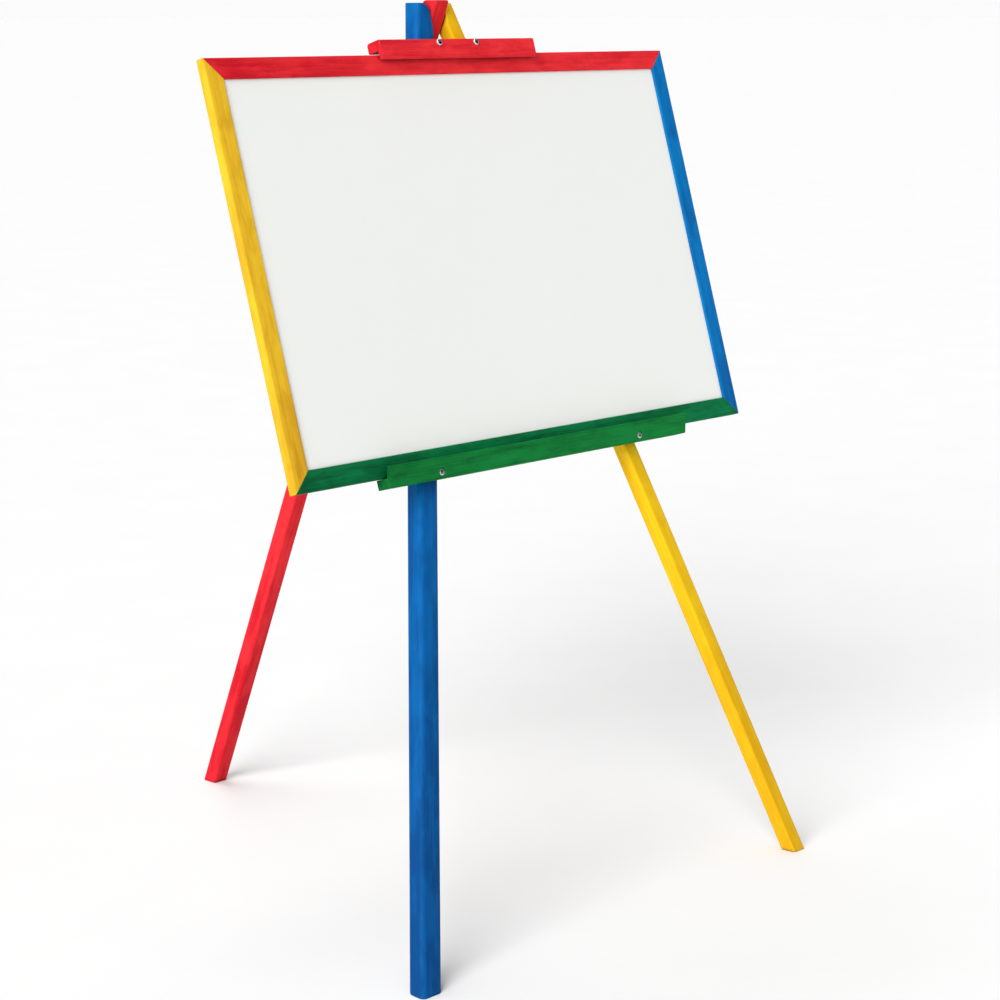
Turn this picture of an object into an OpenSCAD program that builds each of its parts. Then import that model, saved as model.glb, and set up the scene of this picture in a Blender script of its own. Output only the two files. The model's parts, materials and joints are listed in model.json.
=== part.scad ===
// Folding three-legged easel for children: a framed whiteboard held between a
// grooved clip and a grooved ledge, on two splayed front legs and a rear leg that
// swings on a hidden pin. Millimetres, +Z up, the board faces -Y, and the origin
// is on the floor under the middle of the bounding box.

/* [Board] */
// Width of the framed board
board_w = 700; // [600:5:760]
// Height of the framed board
board_h = 441.5; // [400:0.5:460]
// Thickness of the frame bars, front to back
board_t = 11; // [10:0.5:12]
// Width of the frame bars seen from the front
bar_w = 22; // [20:1:28]
// Depth of the panel's face behind the front of the frame
panel_recess = 2.5; // [1.5:0.5:3]
// Thickness of the white writing sheet
sheet_t = 0.6; // [0.4:0.1:0.8]
// Thickness of the hardboard behind the sheet
hardboard_t = 2.4; // [2:0.2:3]
// How deep the panel enters the groove in each bar
groove_depth = 6; // [5:0.5:8]

/* [Stand] */
// Height of the board's lower front edge above the floor
board_lift = 498; // [420:2:560]
// Backward lean of the board and the front legs, in degrees
lean = 17; // [14:0.5:20]
// Sideways angle of the left front leg, in degrees
left_splay = 16; // [14:0.1:17]
// Sideways angle of the right front leg, in degrees
right_splay = 15.6; // [14:0.1:17]
// Angle of the rear leg from the vertical, in degrees
rear_angle = 22.7; // [16:0.1:26]
// Distance between the axes of the front legs at the pin
head_spacing = 35.2; // [34:0.2:38]
// Height of the pin above the board's top edge, along the board
pin_above_board = 48.5; // [44:0.5:60]
// How far the stand sits to the right of the board's centre
stand_shift = 3.3; // [0:0.1:8]

/* [Legs] */
// Width of the left front leg
left_leg_w = 27.5; // [22:0.5:28]
// Depth of the left front leg
left_leg_d = 23; // [20:0.5:24]
// Rounding of the left front leg's long edges
left_edge_r = 6; // [2:0.5:7]
// Width of the right front leg
right_leg_w = 19.4; // [18:0.2:24]
// Depth of the right front leg
right_leg_d = 18.4; // [18:0.2:22]
// Width of the rear leg
rear_leg_w = 21; // [19:0.2:22]
// Depth of the rear leg
rear_leg_d = 20.2; // [18:0.2:21]
// Rounding of the long edges of the right and the rear leg
edge_r = 2.8; // [1:0.1:4]
// Rounding of the front legs' tops, beside the rear leg
head_r = 10; // [4:1:12]

/* [Clip and ledge] */
// Length of the top clip
clip_len = 238; // [200:1:260]
// How far the clip sits to the right of the board's centre
clip_shift = 5.6; // [-6:0.2:8]
// Length of the bottom ledge
ledge_len = 470.5; // [420:0.5:520]
// How far the ledge sits to the right of the board's centre
ledge_shift = 4; // [-6:0.2:8]
// Thickness of the lips that stand in front of the board
lip_t = 4.5; // [4:0.5:6]
// Gap between the clip's lip and the front of the board
lip_gap = 3.5; // [1:0.5:4]
// Gap between the ledge's lip and the foot of the board
ledge_gap = 5; // [3:0.5:6]
// How far the clip's lip reaches down over the board
clip_overlap = 6.5; // [3:0.5:8]
// How far the ledge's lip reaches up over the board
ledge_overlap = 11.5; // [8:0.5:14]
// Free height above the board inside the clip
clip_headroom = 3; // [3:0.5:5]

/* [Hardware] */
// Radius of the hinge pin
pin_r = 3; // [2.5:0.5:3.5]
// Depth of the pin's blind hole in each front leg
pin_seat = 12; // [9:1:13]
// Radius of the screw heads
screw_head_r = 3.7; // [3.5:0.1:4]
// Radius of the screw shanks
screw_shank_r = 2; // [1.5:0.25:2.25]
// How far the screws enter the legs
screw_bite = 12; // [10:1:14]

/* [Hidden] */

// Colours
red = [0.86, 0.12, 0.15];
green = [0.01, 0.42, 0.20];
blue = [0.01, 0.33, 0.66];
yellow = [0.95, 0.76, 0.06];
steel = [0.78, 0.79, 0.80];

// Clearances
play = 0.3;               // between parts that slide or swing past each other
seat_gap = 0.5;           // between the back of the board and the front legs
pin_play = 0.05;          // radial running fit of the rear leg on the pin
washer_t = 0.8;

// Heights and depths in the board's leaning frame: X to the right, Y from the
// board's front towards its back, Z up along the board from its lower edge
leg_front = board_t + seat_gap;
pin_back = leg_front + 10.5;
pin_up = board_h + pin_above_board;
head_gap = washer_t + play;
bevel_x = rear_leg_w / 2 + head_gap;
pin_len = 2 * (bevel_x + pin_seat);
leg_len = 1200;           // longer than needed: the level cuts give the legs their length

// The pin in the standing frame, before the whole easel is centred
pin_y0 = pin_back * cos(lean) + pin_up * sin(lean);
pin_z = board_lift - pin_back * sin(lean) + pin_up * cos(lean);

// Foremost and rearmost points of the feet, which centre the easel on the origin
front_foot_z = (leg_front * sin(lean) - board_lift) / cos(lean);
front_foot_y0 = leg_front * cos(lean) + front_foot_z * sin(lean);
rear_reach = (pin_z + rear_leg_d / 2 * sin(rear_angle)) / cos(rear_angle);
rear_foot_y0 = pin_y0 + rear_leg_d / 2 * cos(rear_angle) + rear_reach * sin(rear_angle);
board_y = -(front_foot_y0 + rear_foot_y0) / 2;
pin_y = board_y + pin_y0;

// Level tops of the legs
front_top = pin_z + 14.3;
rear_top = pin_z + 17.3;
rear_head_front_r = 3;
rear_head_back_r = 9;

// Clip and ledge; the ledge's lip stands upright although the board leans
lip_front = -(lip_gap + lip_t);
ledge_lip_front = -(ledge_gap + lip_t);
clip_top = board_h + clip_headroom + 11.5;
ledge_floor = -play;
ledge_bottom = -11;
clip_screw_up = clip_top - 4;
ledge_screw_up = -4;
pocket_r = screw_head_r + 0.2;
pocket_wall = 0.8;        // least depth of the pockets around the ledge's screw heads
ledge_seat = upright(ledge_lip_front, ledge_screw_up - pocket_r) + pocket_wall;
screw_len = leg_front - lip_front + screw_bite;
screw_head_h = 1.8;
head_round = 1.2;
cross_w = 0.9;
cross_len = 4.8;
cross_depth = 1.1;
socket_r = 1.4;
screw_tip = 5;

// Frame, panel and staples
groove_w = sheet_t + hardboard_t + 0.2;
panel_margin = bar_w - groove_depth + 0.5;
staple_crown = 10;
staple_wire = 1.4;
staple_leg = 6;
staple_places = [10, 22];
arc_steps = 6;

// Turns a list of [x, y, radius] corners into an outline with rounded corners
function unit(v) = v / norm(v);
function rounded_corner(before, corner, after, r) =
  r == 0 ? [corner] :
  let (
    a = unit(before - corner),
    b = unit(after - corner),
    half = acos(a * b) / 2,
    centre = corner + unit(a + b) * r / sin(half),
    start = corner + a * r / tan(half) - centre,
    end = corner + b * r / tan(half) - centre
  )
  [for (i = [0:arc_steps]) centre + r * unit(start * (1 - i / arc_steps) + end * i / arc_steps)];
function xy(p) = [p[0], p[1]];
function rounded(corners) =
  let (n = len(corners))
  [
    for (i = [0:n - 1])
      each rounded_corner(xy(corners[(i + n - 1) % n]), xy(corners[i]), xy(corners[(i + 1) % n]),
                          corners[i][2])
  ];

// Depth of an upright face at a height in the leaning frame, from its depth at the
// ledge's floor
function upright(depth, up) = depth - (up - ledge_floor) * tan(lean);

// The board's leaning frame
module leaning() {
  translate([0, board_y, board_lift]) rotate([-lean, 0, 0]) children();
}

// The pin's axis in the leaning frame, as a solid of the given radius and length
module pin_shape(r, length) {
  translate([stand_shift, pin_back, pin_up]) rotate([0, 90, 0])
    cylinder(r = r, h = length, center = true, $fn = 48);
}

// A wood screw driven along +Z: a flat round head with a cross recess, its
// underside on z = 0, and a plain shank that ends in a point
module screw_shape() {
  difference() {
    rotate_extrude($fn = 48)
      polygon(concat([[0, 0], [screw_head_r, 0]],
        [for (a = [0:15:90]) [
          screw_head_r - head_round + head_round * cos(a),
          head_round - screw_head_h - head_round * sin(a)
        ]],
        [[0, -screw_head_h]]));
    translate([0, 0, -screw_head_h]) cylinder(r = socket_r, h = 2 * cross_depth, center = true, $fn = 24);
    for (a = [45, 135])
      rotate([0, 0, a]) translate([0, 0, -screw_head_h])
        cube([cross_len, cross_w, 2 * cross_depth], center = true);
  }
  screw_shank(screw_shank_r);
}

// The part of the screw below its head, used again to bore the wood
module screw_shank(r) {
  cylinder(r = r, h = screw_len - screw_tip, $fn = 32);
  translate([0, 0, screw_len - screw_tip]) cylinder(r1 = r, r2 = 0.3, h = screw_tip, $fn = 32);
}

// Where a front leg's axis stands at a height in the leaning frame; side is -1 or 1
function leg_x(side, up) =
  stand_shift + side * (head_spacing / 2 + (pin_up - up) * tan(side < 0 ? left_splay : right_splay));

// The holes that the two screws of one side need in a leg
module leg_screw_holes(side) {
  at_clip_screw(side) screw_shank(screw_shank_r);
  at_ledge_screw(side) screw_shank(screw_shank_r);
}

// A straight leg along Z through its pin: width along X, depth along Y
module leg_blank(w, d, r) {
  translate([0, 0, -leg_len]) linear_extrude(leg_len + 60)
    polygon(rounded([[-w / 2, -d / 2, r], [w / 2, -d / 2, r], [w / 2, d / 2, r], [-w / 2, d / 2, r]]));
}

// Everything on one side of the rear leg, between the floor and the level top
module beside_rear_leg(side) {
  far = side * 600;
  near = side * bevel_x;
  translate([stand_shift, 0, 0]) rotate([90, 0, 0]) linear_extrude(3000, center = true)
    polygon(rounded([[near, 0, 0], [far, 0, 0], [far, front_top, 0], [near, front_top, head_r]]));
}

// One front leg; its inner face is bevelled at the head to lie against the rear leg
module front_leg(side, w, d, r) {
  intersection() {
    leaning() difference() {
      translate([leg_x(side, pin_up), leg_front + d / 2, pin_up])
        rotate([0, -side * (side < 0 ? left_splay : right_splay), 0]) leg_blank(w, d, r);
      pin_shape(pin_r, pin_len);
      leg_screw_holes(side);
    }
    beside_rear_leg(side);
  }
}

module front_leg_left() {
  color(blue) front_leg(-1, left_leg_w, left_leg_d, left_edge_r);
}

module front_leg_right() {
  color(yellow) front_leg(1, right_leg_w, right_leg_d, edge_r);
}

// Depth of the rear leg's front (-1) or back (1) face at a height
function rear_face_y(face, z) =
  pin_y + (pin_z - z) * tan(rear_angle) + face * rear_leg_d / 2 / cos(rear_angle);

// The rear leg seen from the side, with its level foot and its rounded top
module rear_profile() {
  translate([stand_shift, 0, 0]) rotate([90, 0, 90]) linear_extrude(200, center = true)
    polygon(rounded([
      [rear_face_y(-1, 0), 0, 0], [rear_face_y(1, 0), 0, 0],
      [rear_face_y(1, rear_top), rear_top, rear_head_back_r],
      [rear_face_y(-1, rear_top), rear_top, rear_head_front_r]
    ]));
}

module rear_leg() {
  color(red) difference() {
    intersection() {
      translate([stand_shift, pin_y, pin_z]) rotate([rear_angle, 0, 0])
        leg_blank(rear_leg_w, rear_leg_d, edge_r);
      rear_profile();
    }
    leaning() pin_shape(pin_r + pin_play, 4 * rear_leg_w);
  }
}

module hinge_pin() {
  color(steel) leaning() pin_shape(pin_r, pin_len);
}

module hinge_washer(side) {
  color(steel) leaning() translate([side * (bevel_x - washer_t / 2), 0, 0]) difference() {
    pin_shape(7, washer_t);
    pin_shape(pin_r + 0.2, 2 * washer_t);
  }
}

module hinge_washer_left() {
  hinge_washer(-1);
}

module hinge_washer_right() {
  hinge_washer(1);
}

// A rail along X from an outline drawn as [depth, height]
module rail(length, shift, corners) {
  translate([shift, 0, 0]) rotate([90, 0, 90])
    linear_extrude(length, center = true) polygon(rounded(corners));
}

// These two place their children at a screw's seat on the clip and on the ledge, and
// turn the children's +Z into the board's thickness, the way the screws point
module at_clip_screw(side) {
  translate([leg_x(side, clip_screw_up), lip_front, clip_screw_up]) rotate([-90, 0, 0]) children();
}

module at_ledge_screw(side) {
  translate([leg_x(side, ledge_screw_up), ledge_seat, ledge_screw_up]) rotate([-90, 0, 0]) children();
}

// The two holes through a rail
module rail_bore() {
  cylinder(r = screw_shank_r + 0.1, h = 60, center = true, $fn = 32);
}

module top_clip() {
  roof = board_h + clip_headroom;
  lip_end = board_h - clip_overlap;
  color(red) leaning() difference() {
    rail(clip_len, clip_shift, [
      [lip_front, lip_end, 1], [lip_front + lip_t, lip_end, 1], [lip_front + lip_t, roof, 0.8],
      [leg_front, roof, 1], [leg_front, clip_top, 3], [lip_front, clip_top, 1.5]
    ]);
    for (side = [-1, 1]) at_clip_screw(side) rail_bore();
  }
}

module bottom_ledge() {
  color(green) leaning() difference() {
    rail(ledge_len, ledge_shift, [
      [upright(ledge_lip_front, ledge_bottom), ledge_bottom, 1], [leg_front, ledge_bottom, 1],
      [leg_front, ledge_floor, 0.5],
      [-ledge_gap, ledge_floor, 0.8], [upright(-ledge_gap, ledge_overlap), ledge_overlap, 1],
      [upright(ledge_lip_front, ledge_overlap), ledge_overlap, 1]
    ]);
    for (side = [-1, 1]) at_ledge_screw(side) {
      rail_bore();
      translate([0, 0, -20]) cylinder(r = pocket_r, h = 20, $fn = 48);
    }
  }
}

module clip_screw(side) {
  color(steel) leaning() at_clip_screw(side) screw_shape();
}

module ledge_screw(side) {
  color(steel) leaning() at_ledge_screw(side) screw_shape();
}

module clip_screw_left() {
  clip_screw(-1);
}

module clip_screw_right() {
  clip_screw(1);
}

module ledge_screw_left() {
  ledge_screw(-1);
}

module ledge_screw_right() {
  ledge_screw(1);
}

// Section of a frame bar: X from the outer edge inwards, Y from front to back
module bar_section() {
  groove_x = bar_w - groove_depth;
  groove_y = panel_recess + groove_w;
  polygon(rounded([
    [0, 0, 1.5], [bar_w, 0, 1],
    [bar_w, panel_recess, 0], [groove_x, panel_recess, 0],
    [groove_x, groove_y, 0], [bar_w, groove_y, 0],
    [bar_w, board_t, 1], [0, board_t, 1.5]
  ]));
}

// A mitred bar lying along X with its outer edge at z = 0
module bar(length) {
  intersection() {
    rotate([0, -90, 0]) linear_extrude(length, center = true) bar_section();
    rotate([90, 0, 0]) linear_extrude(4 * board_t, center = true)
      polygon([[-length / 2, 0], [length / 2, 0], [length / 2 - bar_w, bar_w], [bar_w - length / 2, bar_w]]);
  }
}

// A bar turned to its side of the board, with the staples' places cut out
module frame_bar(turn, length, reach) {
  leaning() difference() {
    translate([0, 0, board_h / 2]) rotate([0, turn, 0]) translate([0, 0, -reach]) bar(length);
    for (x = [-1, 1], z = [-1, 1]) corner_staples(x, z);
  }
}

module frame_bar_left() {
  color(yellow) frame_bar(90, board_h, board_w / 2);
}

module frame_bar_top() {
  color(red) frame_bar(180, board_w, board_h / 2);
}

module frame_bar_right() {
  color(blue) frame_bar(270, board_h, board_w / 2);
}

module frame_bar_bottom() {
  color(green) frame_bar(0, board_w, board_h / 2);
}

// One layer of the panel: a flat sheet whose edges sit in the bars' grooves
module panel_layer(front, thickness) {
  leaning() translate([panel_margin - board_w / 2, front, panel_margin])
    cube([board_w - 2 * panel_margin, thickness, board_h - 2 * panel_margin]);
}

module whiteboard_sheet() {
  color([0.92, 0.93, 0.92]) panel_layer(panel_recess, sheet_t);
}

module hardboard_back() {
  color([0.45, 0.30, 0.18]) panel_layer(panel_recess + sheet_t, hardboard_t);
}

// A wire staple driven into the back of the board, its crown along X
module staple() {
  leg_x = (staple_crown - staple_wire) / 2;
  translate([-staple_crown / 2, board_t - 0.6, -staple_wire / 2]) cube([staple_crown, 0.6, staple_wire]);
  for (x = [-leg_x, leg_x])
    translate([x - staple_wire / 2, board_t - staple_leg, -staple_wire / 2])
      cube([staple_wire, staple_leg, staple_wire]);
}

// The two staples across one mitre; x and z choose the corner
module corner_staples(x, z) {
  for (along = staple_places)
    translate([x * (board_w / 2 - along / sqrt(2)), 0, board_h / 2 + z * (board_h / 2 - along / sqrt(2))])
      rotate([0, x * z * 45, 0]) staple();
}

module staples_top_left() {
  color(steel) leaning() corner_staples(-1, 1);
}

module staples_top_right() {
  color(steel) leaning() corner_staples(1, 1);
}

module staples_bottom_right() {
  color(steel) leaning() corner_staples(1, -1);
}

module staples_bottom_left() {
  color(steel) leaning() corner_staples(-1, -1);
}

front_leg_left();
front_leg_right();
rear_leg();
hinge_pin();
hinge_washer_left();
hinge_washer_right();
top_clip();
bottom_ledge();
clip_screw_left();
clip_screw_right();
ledge_screw_left();
ledge_screw_right();
frame_bar_left();
frame_bar_top();
frame_bar_right();
frame_bar_bottom();
whiteboard_sheet();
hardboard_back();
staples_top_left();
staples_top_right();
staples_bottom_right();
staples_bottom_left();
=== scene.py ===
"""Looks of a child's folding easel: stained pine sticks, a framed whiteboard and zinc-plated screws.

Every visible piece is worked up from its CAD node, which is welded and eased along its sharp edges.
Its textures are placed in a frame of the piece's own whose Z axis is the grain, so that the wood
follows each stick. Lengths are metres, and angles are degrees where a name says so.
"""

import json
import math

import bmesh
import bpy
from mathutils import Matrix, Vector


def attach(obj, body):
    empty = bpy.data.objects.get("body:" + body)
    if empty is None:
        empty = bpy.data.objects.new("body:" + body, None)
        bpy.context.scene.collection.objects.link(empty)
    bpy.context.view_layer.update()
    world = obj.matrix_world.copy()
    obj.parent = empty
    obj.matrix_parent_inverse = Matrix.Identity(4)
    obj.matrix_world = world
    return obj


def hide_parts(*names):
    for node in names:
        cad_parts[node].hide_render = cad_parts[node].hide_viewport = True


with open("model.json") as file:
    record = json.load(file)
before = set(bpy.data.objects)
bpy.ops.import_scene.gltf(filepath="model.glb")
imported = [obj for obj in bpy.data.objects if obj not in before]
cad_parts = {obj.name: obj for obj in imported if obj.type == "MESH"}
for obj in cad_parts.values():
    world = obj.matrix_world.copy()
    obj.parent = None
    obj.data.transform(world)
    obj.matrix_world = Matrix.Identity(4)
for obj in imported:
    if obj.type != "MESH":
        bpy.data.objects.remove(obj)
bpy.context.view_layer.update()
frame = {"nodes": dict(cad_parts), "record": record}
MM = 0.001

# ---------------------------------------------------------------- camera
CAMERA_PLACE = Vector((-1.92915, -2.00763, 0.96341))
CAMERA_YAW_DEG = 46.248      # turned from +Y towards +X
CAMERA_PITCH_DEG = 11.187    # looking down
CAMERA_LENS_MM = 88.632
SENSOR_MM = 36.0


def make_camera():
    data = bpy.data.cameras.new("camera")
    data.lens = CAMERA_LENS_MM
    data.sensor_width = SENSOR_MM
    camera = bpy.data.objects.new("camera", data)
    bpy.context.scene.collection.objects.link(camera)
    camera.location = CAMERA_PLACE
    camera.rotation_euler = (math.radians(90 - CAMERA_PITCH_DEG), 0, math.radians(-CAMERA_YAW_DEG))
    bpy.context.scene.camera = camera


# ---------------------------------------------------------------- material helpers
EDGE_SAMPLES = 4
EDGE_STARTS = 0.995          # cosine between the face and its rounded copy where an edge begins
EDGE_FULL = 0.90             # and where it is at its strongest
CREVICE_SAMPLES = 6
CREVICE_STARTS = 0.62        # share of open surroundings below which a crevice begins
CREVICE_FULL = 0.25          # and at which it is at its deepest


class Nodes:
    """Short calls that add and join the nodes of one material.

    Its textures are placed in the frame of the piece, whose middle and turn are given."""

    def __init__(self, name, frame_of_piece=Matrix.Identity(4)):
        self.material = bpy.data.materials.new(name)
        self.material.use_nodes = True
        self.tree = self.material.node_tree
        self.tree.nodes.clear()
        self.shader = self.tree.nodes.new("ShaderNodeBsdfPrincipled")
        output = self.tree.nodes.new("ShaderNodeOutputMaterial")
        self.tree.links.new(self.shader.outputs["BSDF"], output.inputs["Surface"])
        coordinates = self.tree.nodes.new("ShaderNodeTexCoord")
        middle, turn, _ = frame_of_piece.decompose()
        self.position = self.into_frame(coordinates.outputs["Object"], middle, turn.to_euler())
        self.normal = self.into_frame(coordinates.outputs["Normal"], (0, 0, 0), turn.to_euler())

    def into_frame(self, vector, middle, turn):
        """A point or direction of the object in the piece's own frame."""
        node = self.tree.nodes.new("ShaderNodeMapping")
        node.vector_type = "TEXTURE"
        self.put(node.inputs["Vector"], vector)
        node.inputs["Location"].default_value = middle
        node.inputs["Rotation"].default_value = turn
        return node.outputs["Vector"]

    def put(self, socket, value):
        """Joins a socket to another node's output, or sets its own value."""
        if isinstance(value, bpy.types.NodeSocket):
            self.tree.links.new(value, socket)
        else:
            socket.default_value = value

    def shade(self, **values):
        """Sets the shader's inputs; an underscore in a name stands for a space."""
        for name, value in values.items():
            self.put(self.shader.inputs[name.replace("_", " ")], value)

    def place(self, scale, shift=(0, 0, 0), rotation=(0, 0, 0)):
        """The piece's own coordinates, scaled, turned and shifted."""
        node = self.tree.nodes.new("ShaderNodeMapping")
        self.put(node.inputs["Vector"], self.position)
        node.inputs["Location"].default_value = shift
        node.inputs["Rotation"].default_value = rotation
        node.inputs["Scale"].default_value = scale
        return node.outputs["Vector"]

    def noise(self, vector, detail=2.0, rough=0.5, distortion=0.0):
        """Cloudy noise from about 0.3 to 0.7, whose cells are one unit of the vector across."""
        node = self.tree.nodes.new("ShaderNodeTexNoise")
        self.put(node.inputs["Vector"], vector)
        node.inputs["Scale"].default_value = 1.0
        node.inputs["Detail"].default_value = detail
        node.inputs["Roughness"].default_value = rough
        node.inputs["Distortion"].default_value = distortion
        return node.outputs["Fac"]

    def math(self, kind, a, b=0.0, c=0.0, clamp=False):
        node = self.tree.nodes.new("ShaderNodeMath")
        node.operation = kind
        node.use_clamp = clamp
        for socket, value in zip(node.inputs, (a, b, c)):
            self.put(socket, value)
        return node.outputs["Value"]

    def vector_math(self, kind, a, b=None):
        node = self.tree.nodes.new("ShaderNodeVectorMath")
        node.operation = kind
        self.put(node.inputs[0], a)
        if b is not None:
            self.put(node.inputs[1], b)
        return node.outputs["Value" if kind in ("LENGTH", "DOT_PRODUCT") else "Vector"]

    def split(self, vector):
        node = self.tree.nodes.new("ShaderNodeSeparateXYZ")
        self.put(node.inputs["Vector"], vector)
        return node.outputs

    def remap(self, value, low, high, to_low=0.0, to_high=1.0):
        """Eases from to_low, where value is low, to to_high, where it is high."""
        node = self.tree.nodes.new("ShaderNodeMapRange")
        node.interpolation_type = "SMOOTHSTEP"
        for name, x in (("Value", value), ("From Min", low), ("From Max", high),
                        ("To Min", to_low), ("To Max", to_high)):
            self.put(node.inputs[name], x)
        return node.outputs["Result"]

    def mix(self, factor, a, b):
        """Colour a where factor is 0, b where it is 1."""
        node = self.tree.nodes.new("ShaderNodeMix")
        node.data_type = "RGBA"
        self.put(node.inputs["Factor"], factor)
        self.put(node.inputs["A"], (*a, 1) if isinstance(a, tuple) else a)
        self.put(node.inputs["B"], (*b, 1) if isinstance(b, tuple) else b)
        return node.outputs["Result"]

    def bump(self, height, depth):
        """Relief whose full height is depth metres."""
        node = self.tree.nodes.new("ShaderNodeBump")
        node.inputs["Strength"].default_value = 1.0
        node.inputs["Distance"].default_value = depth
        self.put(node.inputs["Height"], height)
        self.put(self.shader.inputs["Normal"], node.outputs["Normal"])

    def edges(self, radius):
        """0 on flat faces and up to 1 along the edges, by comparing the face with a rounded copy."""
        rounded = self.tree.nodes.new("ShaderNodeBevel")
        rounded.samples = EDGE_SAMPLES
        rounded.inputs["Radius"].default_value = radius
        geometry = self.tree.nodes.new("ShaderNodeNewGeometry")
        same = self.vector_math("DOT_PRODUCT", rounded.outputs["Normal"], geometry.outputs["Normal"])
        return self.remap(same, EDGE_STARTS, EDGE_FULL)

    def crevices(self, reach):
        """0 in the open and up to 1 where another face stands closer than reach metres."""
        node = self.tree.nodes.new("ShaderNodeAmbientOcclusion")
        node.samples = CREVICE_SAMPLES
        node.inputs["Distance"].default_value = reach
        return self.remap(node.outputs["AO"], CREVICE_STARTS, CREVICE_FULL)


# ---------------------------------------------------------------- materials
PALE_WOOD = (0.80, 0.58, 0.34)
RING_SPACING = 2.6 * MM
RING_WANDER = 14 * MM        # how far the growth rings stray from true circles
PITH_AWAY = 31 * MM          # distance of the tree's middle from the middle of the stick
PITH_TURN_DEG = 67           # from one stick's place in the tree to the next one's
TREE_STEP = 0.37             # and how far up the tree that is
FIBRES_ACROSS = 900.0
FIBRES_ALONG = 9.0
FIBRE_RELIEF = 0.10 * MM
DARKER_LOW_STARTS = -0.05          # place along the grain, from the stick's middle, below which its colour turns darker
DARKER_LOW_FULL = -0.50
# Width of the paler edges: worn edges and a painted highlight along them
PALE_EDGE_WIDTH = 0.7 * MM
# Painted shade: the stain is darkened where another face stands within this reach
PAINTED_SHADE_REACH = 9 * MM
PAINTED_SHADE_DARKNESS = 0.12        # darkness of the painted shade in crevices, as a share of the deep tone


def stained_pine(name, place, light, deep, seed):
    """Satin stain on pine: growth rings, fibres and blotches that all run along Z, with painted shade in
    crevices and paler edges that are partly wear and partly a painted highlight.
    """
    n = Nodes(name, place)
    turn = math.radians(PITH_TURN_DEG * seed)
    shift = (PITH_AWAY * math.cos(turn), PITH_AWAY * math.sin(turn), TREE_STEP * seed)
    grain = n.place((1, 1, 1), shift)
    wander = n.noise(n.place((28, 28, 1.6), shift), detail=3, rough=0.55)
    across = n.vector_math("LENGTH", n.vector_math("MULTIPLY", grain, (1, 1, 0)))
    rings = n.math("MULTIPLY_ADD", wander, RING_WANDER, across)
    phase = n.math("FRACT", n.math("DIVIDE", rings, RING_SPACING))
    early = n.remap(phase, 0.15, 0.88)
    late_end = n.remap(phase, 0.90, 1.0)
    latewood = n.math("SUBTRACT", early, late_end, clamp=True)
    fibres = n.noise(n.place((FIBRES_ACROSS, FIBRES_ACROSS, FIBRES_ALONG), shift), detail=4, rough=0.6)
    streaks = n.noise(n.place((150, 150, 8), shift), detail=3, rough=0.6, distortion=0.5)
    blotches = n.noise(n.place((60, 60, 22), shift), detail=5, rough=0.62, distortion=0.4)

    depth = n.math("MULTIPLY", latewood, 0.10)
    depth = n.math("MULTIPLY_ADD", n.remap(fibres, 0.35, 0.72), 0.18, depth)
    depth = n.math("MULTIPLY_ADD", n.remap(streaks, 0.40, 0.70), 0.30, depth)
    depth = n.math("MULTIPLY_ADD", n.remap(blotches, 0.36, 0.66), 0.46, depth)
    # Darker towards the end the grain's Z points away from, the lower end of a leg
    darker_low = n.remap(n.split(n.position)["Z"], DARKER_LOW_STARTS, DARKER_LOW_FULL)
    depth = n.math("MULTIPLY_ADD", darker_low, 0.50, depth)
    end_grain = n.remap(n.math("ABSOLUTE", n.split(n.normal)["Z"]), 0.70, 0.90)
    depth = n.math("MULTIPLY_ADD", end_grain, 0.35, depth, clamp=True)
    colour = n.mix(depth, light, deep)

    # Paler edges in patches: wear, together with a painted highlight where edges catch light
    pale_edge_patches = n.remap(n.noise(n.place((70, 70, 22), shift), detail=4, rough=0.65), 0.50, 0.66)
    pale_edges = n.math("MULTIPLY", n.edges(PALE_EDGE_WIDTH), pale_edge_patches)
    pale_edge_colour = n.mix(0.55, light, PALE_WOOD)
    colour = n.mix(n.math("MULTIPLY", pale_edges, 0.55), colour, pale_edge_colour)
    # Painted shade: colour darkened in crevices, gaps and under parts, where other faces stand close
    painted_shade_colour = tuple(PAINTED_SHADE_DARKNESS * channel for channel in deep)
    colour = n.mix(n.math("MULTIPLY", n.crevices(PAINTED_SHADE_REACH), 0.80), colour, painted_shade_colour)

    height = n.math("MULTIPLY_ADD", fibres, 0.6, n.math("MULTIPLY", latewood, 0.12))
    n.bump(height, FIBRE_RELIEF)
    roughness = n.remap(n.math("ADD", n.math("MULTIPLY", fibres, 0.6), n.math("MULTIPLY", blotches, 0.4)),
                        0.3, 0.7, 0.46, 0.64)
    n.shade(Base_Color=colour, Roughness=roughness, IOR=1.46, Specular_IOR_Level=0.07)
    return n.material


SHEET_WHITE = (0.862, 0.872, 0.842)
SHEET_HAZE = (0.828, 0.840, 0.812)
HAZE_TURN_DEG = 24
PEEL_RELIEF = 0.012 * MM


def writing_sheet(place):
    """Smooth white melamine with a faint orange peel and a trace of haze from wiping."""
    n = Nodes("white_melamine", place)
    peel = n.noise(n.place((420, 420, 420)), detail=2)
    haze = n.noise(n.place((4, 9, 7), rotation=(0, math.radians(HAZE_TURN_DEG), 0)), detail=2, rough=0.5)
    cloud = n.noise(n.place((3.5, 3.5, 3.5)), detail=3)
    tone = n.math("MULTIPLY_ADD", haze, 0.4, n.math("MULTIPLY", cloud, 0.6))
    colour = n.mix(tone, SHEET_WHITE, SHEET_HAZE)
    n.bump(peel, PEEL_RELIEF)
    n.shade(Base_Color=colour, Roughness=n.remap(haze, 0.3, 0.7, 0.30, 0.34), IOR=1.5,
            Specular_IOR_Level=0.30)
    return n.material


HARDBOARD = (0.235, 0.125, 0.058)
HARDBOARD_DEEP = (0.125, 0.062, 0.029)
SCREEN_PITCH = 1.7 * MM
SCREEN_RELIEF = 0.16 * MM


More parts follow.
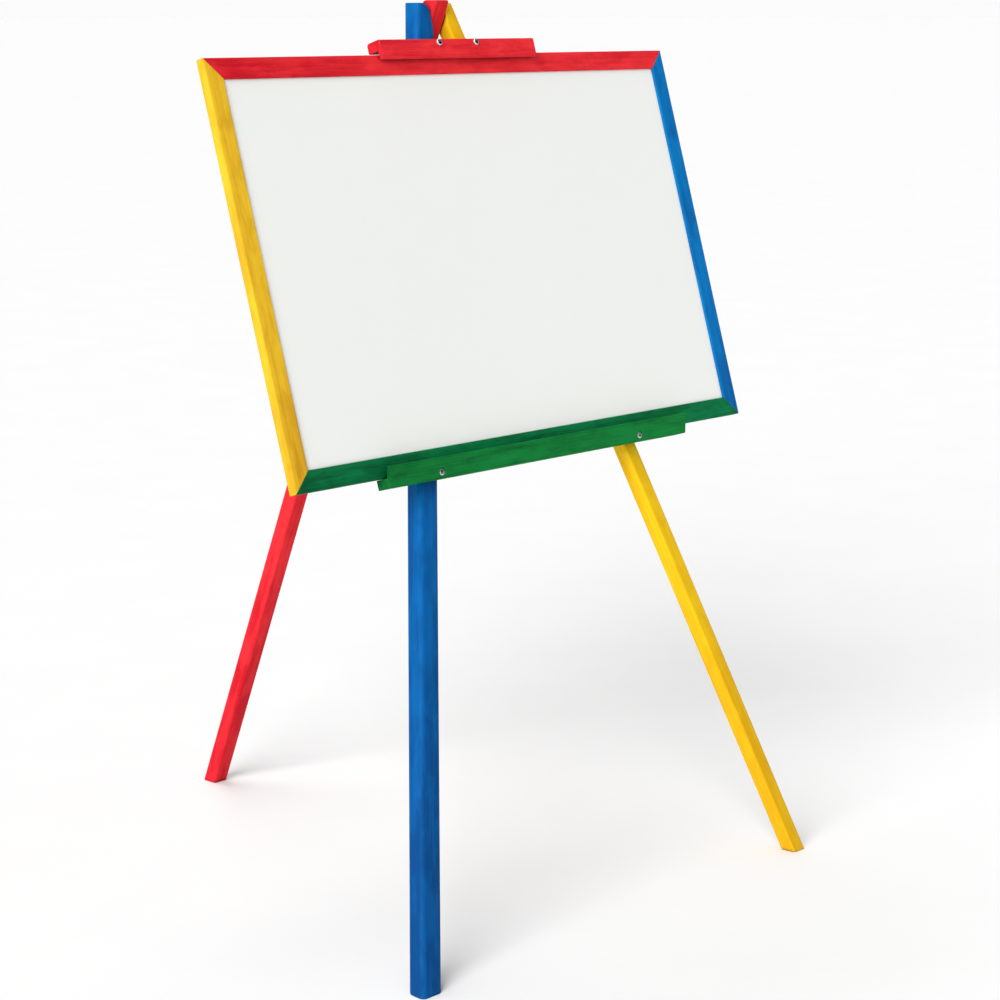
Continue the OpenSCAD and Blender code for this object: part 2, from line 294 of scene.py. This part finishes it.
def brown_hardboard(place):
    """Pressed wood fibre with the print of the press's wire screen."""
    n = Nodes("pressed_hardboard", place)
    position = n.split(n.position)
    turns = 2 * math.pi / SCREEN_PITCH
    weft = n.math("SINE", n.math("MULTIPLY", position["X"], turns))
    warp = n.math("SINE", n.math("MULTIPLY", position["Z"], turns))
    screen = n.math("MULTIPLY_ADD", n.math("MULTIPLY", weft, warp), 0.5, 0.5)
    fibre = n.noise(n.place((520, 520, 180)), detail=5, rough=0.65, distortion=1.2)
    cloud = n.noise(n.place((9, 9, 9)), detail=4, rough=0.6)
    tone = n.math("MULTIPLY_ADD", n.remap(fibre, 0.3, 0.75), 0.55, n.math("MULTIPLY", cloud, 0.5))
    tone = n.math("MULTIPLY_ADD", screen, 0.12, tone, clamp=True)
    colour = n.mix(tone, HARDBOARD, HARDBOARD_DEEP)
    n.bump(n.math("MULTIPLY_ADD", fibre, 0.7, n.math("MULTIPLY", screen, 0.6)), SCREEN_RELIEF)
    n.shade(Base_Color=colour, Roughness=n.remap(fibre, 0.3, 0.7, 0.68, 0.86), IOR=1.45,
            Specular_IOR_Level=0.3)
    return n.material


ZINC = (0.80, 0.81, 0.82)
ZINC_TARNISHED = (0.56, 0.57, 0.57)
MARKS_RELIEF = 0.02 * MM


def zinc_plated_steel(place):
    """Bright zinc with a slight tarnish and fine turning marks."""
    n = Nodes("zinc_plated_steel", place)
    marks = n.noise(n.place((300, 300, 6000)), detail=2)
    tarnish = n.noise(n.place((420, 420, 420)), detail=4, rough=0.65)
    colour = n.mix(n.remap(tarnish, 0.40, 0.72), ZINC, ZINC_TARNISHED)
    n.bump(marks, MARKS_RELIEF)
    n.shade(Base_Color=colour, Metallic=1.0, Roughness=n.remap(tarnish, 0.3, 0.7, 0.34, 0.52))
    return n.material


# ---------------------------------------------------------------- pieces
WELD = 0.001 * MM
FLAT_DEG = 0.6               # neighbouring faces closer to level than this are one face
SHARP_DEG = 33               # edges sharper than this are eased
EASE_SEGMENTS = 3
GRAIN_UP = Vector((0.3, 0.2, 1))     # the grain's Z points this way rather than the opposite one


def cad_bmesh(node):
    """The CAD node's mesh, welded, with each flat face in one piece."""
    bm = bmesh.new()
    bm.from_mesh(frame["nodes"][node].data)
    bmesh.ops.remove_doubles(bm, verts=bm.verts, dist=WELD)
    bmesh.ops.dissolve_limit(bm, angle_limit=math.radians(FLAT_DEG), verts=bm.verts, edges=bm.edges)
    bm.normal_update()
    return bm


def grain_frame(bm):
    """A frame in the piece's middle: Z along its longest edge, Y out of its largest face."""
    edge = max(bm.edges, key=lambda e: e.calc_length())
    along = (edge.verts[1].co - edge.verts[0].co).normalized()
    if along.dot(GRAIN_UP) < 0:
        along.negate()
    face = max(bm.faces, key=lambda f: f.calc_area() * (1 - abs(f.normal.dot(along))))
    out = (face.normal - along * face.normal.dot(along)).normalized()
    side = out.cross(along)
    corners = [v.co for v in bm.verts]
    low = Vector(map(min, *corners))
    high = Vector(map(max, *corners))
    turn = Matrix((side, out, along)).transposed().to_4x4()
    return Matrix.Translation((low + high) / 2) @ turn


def ease_edges(bm, width):
    """Rounds the piece's edges that are sharper than SHARP_DEG, inner and outer ones alike."""
    sharp = [e for e in bm.edges if e.is_manifold and e.calc_face_angle() > math.radians(SHARP_DEG)]
    bmesh.ops.bevel(bm, geom=sharp, offset=width, offset_type="OFFSET", segments=EASE_SEGMENTS,
                    profile=0.5, affect="EDGES", clamp_overlap=False)


def finished_piece(node, body, ease, make_material):
    """A detailed copy of a CAD node that rides on the node's body in its place."""
    bm = cad_bmesh(node)
    material = make_material(grain_frame(bm))
    ease_edges(bm, ease)
    for face in bm.faces:
        face.smooth = True
    mesh = bpy.data.meshes.new(node + "_finished")
    bm.to_mesh(mesh)
    bm.free()
    mesh.materials.append(material)
    piece = bpy.data.objects.new(node + "_finished", mesh)
    bpy.context.scene.collection.objects.link(piece)
    weighted = piece.modifiers.new("even_shading", "WEIGHTED_NORMAL")
    weighted.keep_sharp = False
    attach(piece, body)
    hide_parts(node)


RED = (0.85, 0.034, 0.042)
RED_DEEP = (0.54, 0.008, 0.018)
GREEN = (0.002, 0.205, 0.062)
GREEN_DEEP = (0.001, 0.080, 0.026)
LEDGE_GREEN = (0.002, 0.222, 0.038)
LEDGE_GREEN_DEEP = (0.001, 0.095, 0.019)
BLUE = (0.001, 0.124, 0.390)
BLUE_DEEP = (0.001, 0.057, 0.212)
BAR_BLUE = (0.001, 0.195, 0.530)
BAR_BLUE_DEEP = (0.001, 0.078, 0.280)
YELLOW = (0.84, 0.54, 0.010)
YELLOW_DEEP = (0.68, 0.37, 0.005)
BAR_YELLOW = (0.84, 0.53, 0.026)
BAR_YELLOW_DEEP = (0.56, 0.27, 0.010)

# How far the easing reaches into the faces beside an edge
LEG_EASE = 1.2 * MM
WOOD_EASE = 0.35 * MM
METAL_EASE = 0.12 * MM
SHEET_EASE = 0.15 * MM

# Stain of each wooden node: light tone, deep tone, and the number that picks its piece of the tree
STAINS = {
    "front_leg_left": (BLUE, BLUE_DEEP, 1),
    "front_leg_right": (YELLOW, YELLOW_DEEP, 2),
    "rear_leg": (RED, RED_DEEP, 3),
    "top_clip": (RED, RED_DEEP, 4),
    "bottom_ledge": (LEDGE_GREEN, LEDGE_GREEN_DEEP, 5),
    "frame_bar_left": (BAR_YELLOW, BAR_YELLOW_DEEP, 6),
    "frame_bar_top": (RED, RED_DEEP, 7),
    "frame_bar_right": (BAR_BLUE, BAR_BLUE_DEEP, 8),
    "frame_bar_bottom": (GREEN, GREEN_DEEP, 9),
}


def make_easel():
    sheets = {"whiteboard_sheet": writing_sheet, "hardboard_back": brown_hardboard}
    for body, nodes in frame["record"]["behaviour"]["bodies"].items():
        for node in nodes:
            if node in STAINS:
                light, deep, seed = STAINS[node]
                name = "stained_pine_" + node
                finished_piece(node, body, LEG_EASE if "leg" in node else WOOD_EASE,
                               lambda place: stained_pine(name, place, light, deep, seed))
            elif node in sheets:
                finished_piece(node, body, SHEET_EASE, sheets[node])
            else:
                finished_piece(node, body, METAL_EASE, zinc_plated_steel)


# ---------------------------------------------------------------- floor and light
FLOOR_HALF = 400.0
FLOOR_CELLS = 8
FLOOR_PALE = (0.93, 0.93, 0.93)
FLOOR_MOTTLE = (0.90, 0.90, 0.90)
HORIZON_LIGHT = 0.97
ZENITH_LIGHT = 0.14
HORIZON_TOP = 0.08           # height on the sky's sphere up to which the horizon's light is full
DUSK = 0.35                  # height above which only the faint light of the zenith is left
KEY_WAY = Vector((-0.80, -0.30, 0.50))     # from the easel towards the key light
KEY_STRENGTH = 3.2
KEY_SPREAD_DEG = 38
TOP_WAY = Vector((0.0, 0.30, 0.95))        # along the leaning board, so that it mostly lights the floor
TOP_STRENGTH = 1.34
TOP_SPREAD_DEG = 50


def make_floor():
    """A pale seamless floor with a faint mottle."""
    bm = bmesh.new()
    bmesh.ops.create_grid(bm, x_segments=FLOOR_CELLS, y_segments=FLOOR_CELLS, size=FLOOR_HALF)
    mesh = bpy.data.meshes.new("floor")
    bm.to_mesh(mesh)
    bm.free()
    n = Nodes("pale_floor")
    mottle = n.noise(n.place((6, 6, 6)), detail=4)
    n.shade(Base_Color=n.mix(mottle, FLOOR_PALE, FLOOR_MOTTLE), Roughness=0.75, Specular_IOR_Level=0.1)
    mesh.materials.append(n.material)
    floor = bpy.data.objects.new("floor", mesh)
    bpy.context.scene.collection.objects.link(floor)


def make_world():
    """A white studio that is brightest along the horizon."""
    world = bpy.data.worlds.new("studio")
    world.use_nodes = True
    tree = world.node_tree
    way = tree.nodes.new("ShaderNodeTexCoord")
    height = tree.nodes.new("ShaderNodeSeparateXYZ")
    fade = tree.nodes.new("ShaderNodeMapRange")
    fade.inputs["From Min"].default_value = HORIZON_TOP
    fade.inputs["From Max"].default_value = DUSK
    fade.inputs["To Min"].default_value = HORIZON_LIGHT
    fade.inputs["To Max"].default_value = ZENITH_LIGHT
    background = tree.nodes["Background"]
    background.inputs["Color"].default_value = (1.0, 1.0, 1.0, 1)
    tree.links.new(way.outputs["Generated"], height.inputs["Vector"])
    tree.links.new(height.outputs["Z"], fade.inputs["Value"])
    tree.links.new(fade.outputs["Result"], background.inputs["Strength"])
    bpy.context.scene.world = world


def make_light(name, way, strength, spread_deg):
    """One wide, even light from the given way, soft-edged like light from a large window."""
    data = bpy.data.lights.new(name, "SUN")
    data.energy = strength
    data.angle = math.radians(spread_deg)
    light = bpy.data.objects.new(name, data)
    bpy.context.scene.collection.objects.link(light)
    light.rotation_euler = way.to_track_quat("Z", "Y").to_euler()


make_camera()
make_easel()
make_floor()
make_world()
make_light("key", KEY_WAY, KEY_STRENGTH, KEY_SPREAD_DEG)
make_light("top", TOP_WAY, TOP_STRENGTH, TOP_SPREAD_DEG)
bpy.context.scene.view_settings.view_transform = "Standard"
